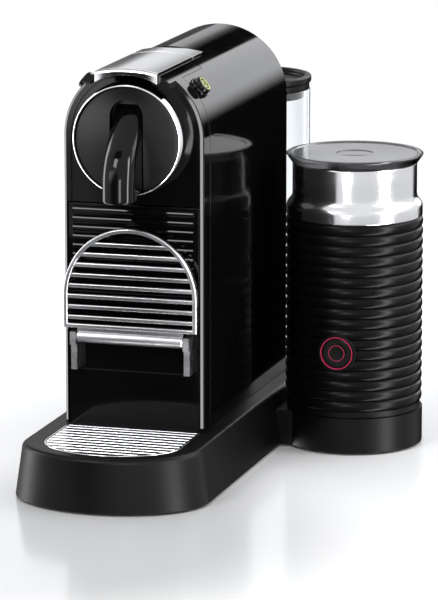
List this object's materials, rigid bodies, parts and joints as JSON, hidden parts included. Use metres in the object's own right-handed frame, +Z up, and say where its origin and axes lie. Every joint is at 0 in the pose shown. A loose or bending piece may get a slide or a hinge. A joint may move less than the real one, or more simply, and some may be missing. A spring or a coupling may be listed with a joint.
{
  "type": "pod coffee machine",
  "caption": "Slim black pod coffee machine with an arched body, lift-up lever, drip tray, fold-down cup rest, rear water tank and a docked ribbed milk frother.",
  "frame": {"origin": "middle of the machine's footprint, on the table under the feet", "axes": "+Z up, -Y towards the drip tray and the user, +X towards the milk frother"},
  "size_m": [0.22, 0.372, 0.277],
  "materials": {
    "gloss_black": "high-gloss moulded black",
    "satin_black": "fine satin black",
    "sleeve_black": "satin black, ribbed",
    "disc_charcoal": "satin charcoal",
    "chrome": "polished bright plating",
    "steel": "bright steel",
    "rubber": "matt rubber",
    "inner_plastic": "plain dark grey moulding",
    "cast_aluminium": "as cast",
    "clear_plastic": "clear moulded plastic",
    "smoky_plastic": "smoky translucent plastic",
    "key_black": "gloss black key",
    "light_red": "red light pipe",
    "board_green": "printed circuit board",
    "motor_metal": "plain metal case"
  },
  "bodies": {
    "chassis": {"base_housing": "satin_black", "bottom_cover": "satin_black", "rubber_feet": "rubber", "base_screws": "steel", "cord_gland": "rubber", "main_shell": "gloss_black", "front_bezel": "gloss_black", "head_fascia": "gloss_black", "head_disc": "disc_charcoal", "chrome_ring": "chrome", "spout": "gloss_black", "rear_panel": "satin_black", "inner_frame": "inner_plastic", "brew_frame": "inner_plastic", "front_brew_plate": "steel", "capsule_guide": "inner_plastic", "lever_pivots": "steel", "button_collars": "gloss_black", "button_switches": "inner_plastic", "pump_body": "motor_metal", "pump_mounts": "rubber", "thermoblock": "cast_aluminium", "flow_meter": "inner_plastic", "control_board": "board_green", "water_hoses": "rubber", "brew_inlet": "inner_plastic", "tank_socket": "rubber", "dock_connector": "inner_plastic"},
    "lever": {"lever_handle": "chrome", "crank_pins": "steel"},
    "cage": {"capsule_cage": "inner_plastic", "cage_seal": "rubber", "piercing_needles": "steel"},
    "espresso_key": {"espresso_button": "key_black"},
    "lungo_key": {"lungo_button": "key_black"},
    "plunger": {"pump_plunger": "motor_metal"},
    "module": {"drip_tray": "satin_black", "tray_feet": "rubber", "ribbed_panel": "gloss_black", "capsule_container": "inner_plastic", "hinge_brackets": "steel", "hinge_pin": "steel"},
    "grid": {"drip_grid": "steel"},
    "support": {"cup_support": "steel"},
    "tank": {"water_tank": "clear_plastic"},
    "valve": {"tank_valve": "inner_plastic"},
    "tank_cover": {"tank_lid": "satin_black"},
    "jug": {"jug_base": "satin_black", "jug_sleeve": "sleeve_black", "led_ring": "light_red", "frother_board": "board_green", "jug_collar": "chrome", "jug_liner": "steel", "frother_heater": "cast_aluminium", "frother_motor": "motor_metal"},
    "frother_key": {"frother_button": "key_black"},
    "rotor": {"magnet_rotor": "motor_metal"},
    "stirrer": {"whisk": "steel"},
    "jug_cover": {"jug_lid": "smoky_plastic", "lid_seal": "rubber"}
  },
  "joints": [
    {"name": "lever_lift", "type": "hinge", "parent": "chassis", "child": "lever", "pos_m": [-0.045, -0.069, 0.237], "axis": [-1, 0, 0], "range_deg": [0, 75]},
    {"name": "cage_slide", "type": "slide", "parent": "chassis", "child": "cage", "axis": [0, 1, 0], "range_m": [0, 0.02577]},
    {"name": "espresso_press", "type": "slide", "parent": "chassis", "child": "espresso_key", "axis": [-0.7771, 0, -0.6293], "range_m": [0, 0.0015], "stiffness_N_per_m": 800},
    {"name": "lungo_press", "type": "slide", "parent": "chassis", "child": "lungo_key", "axis": [0.7771, 0, -0.6293], "range_m": [0, 0.0015], "stiffness_N_per_m": 800},
    {"name": "pump_stroke", "type": "slide", "parent": "chassis", "child": "plunger", "axis": [0, 0, 1], "range_m": [0, 0.006], "stiffness_N_per_m": 900},
    {"name": "module_pull", "type": "slide", "parent": "chassis", "child": "module", "axis": [0, -1, 0], "range_m": [0, 0.13]},
    {"name": "grid_lift", "type": "slide", "parent": "module", "child": "grid", "axis": [0, 0, 1], "range_m": [0, 0.035]},
    {"name": "support_fold", "type": "hinge", "parent": "module", "child": "support", "pos_m": [-0.045, -0.0995, 0.097], "axis": [1, 0, 0], "range_deg": [0, 90]},
    {"name": "tank_lift", "type": "slide", "parent": "chassis", "child": "tank", "axis": [0, 0, 1], "range_m": [0, 0.12]},
    {"name": "valve_lift", "type": "slide", "parent": "tank", "child": "valve", "axis": [0, 0, 1], "range_m": [0, 0.003], "stiffness_N_per_m": 300},
    {"name": "tank_lid_lift", "type": "slide", "parent": "tank", "child": "tank_cover", "axis": [0, 0, 1], "range_m": [0, 0.05]},
    {"name": "jug_lift", "type": "slide", "parent": "chassis", "child": "jug", "axis": [0, 0, 1], "range_m": [0, 0.15]},
    {"name": "jug_lid_lift", "type": "slide", "parent": "jug", "child": "jug_cover", "axis": [0, 0, 1], "range_m": [0, 0.06]},
    {"name": "frother_press", "type": "slide", "parent": "jug", "child": "frother_key", "axis": [0, 1, 0], "range_m": [0, 0.0015], "stiffness_N_per_m": 800},
    {"name": "rotor_spin", "type": "hinge", "parent": "jug", "child": "rotor", "pos_m": [0.063, 0.063, 0.084], "axis": [0, 0, 1], "continuous": true},
    {"name": "whisk_spin", "type": "hinge", "parent": "jug", "child": "stirrer", "pos_m": [0.063, 0.063, 0.096], "axis": [0, 0, 1], "continuous": true}
  ],
  "couplings": [
    {"joint": "cage_slide", "follows": "lever_lift", "m_per_rad": 0.019532},
    {"joint": "whisk_spin", "follows": "rotor_spin", "ratio": 1}
  ]
}
